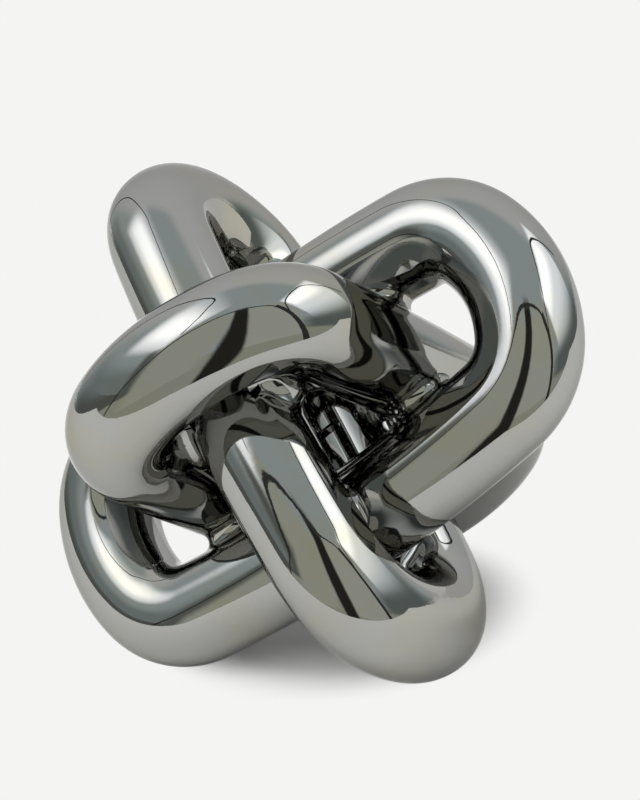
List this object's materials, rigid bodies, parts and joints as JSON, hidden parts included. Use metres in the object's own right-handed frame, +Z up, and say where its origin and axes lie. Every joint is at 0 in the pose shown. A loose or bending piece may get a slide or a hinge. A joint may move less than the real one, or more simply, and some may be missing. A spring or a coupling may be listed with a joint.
{
  "type": "knot sculpture",
  "caption": "Free-standing knot sculpture of linked oval rings bent from thick round tube, polished to a dark mirror, for a shelf or table.",
  "frame": {"origin": "middle of the outline, on the surface that the sculpture stands on", "axes": "+Z up, -Y towards the viewer of the picture, +X to the viewer's right"},
  "size_m": [0.181, 0.173, 0.1604],
  "materials": {
    "dark_chrome": "dark nickel mirror polish over steel tube",
    "sleeve_steel": "bare drawn steel, inside the tube"
  },
  "bodies": {
    "root": {"upper_right_lobe": "dark_chrome", "lower_left_lobe": "dark_chrome", "upper_left_lobe": "dark_chrome", "lower_right_lobe": "dark_chrome", "front_lobe": "dark_chrome", "back_lobe": "dark_chrome", "top_left_weld": "dark_chrome", "top_front_weld": "dark_chrome", "top_right_weld": "dark_chrome", "upper_right_weld": "dark_chrome", "upper_back_weld": "dark_chrome", "upper_left_weld": "dark_chrome", "lower_right_weld": "dark_chrome", "lower_left_weld": "dark_chrome", "lower_front_weld": "dark_chrome", "base_left_weld": "dark_chrome", "base_right_weld": "dark_chrome", "base_back_weld": "dark_chrome", "right_ring_upper_sleeve": "sleeve_steel", "right_ring_lower_sleeve": "sleeve_steel", "left_ring_upper_sleeve": "sleeve_steel", "left_ring_lower_sleeve": "sleeve_steel", "deep_ring_upper_sleeve": "sleeve_steel", "deep_ring_lower_sleeve": "sleeve_steel"}
  },
  "joints": []
}
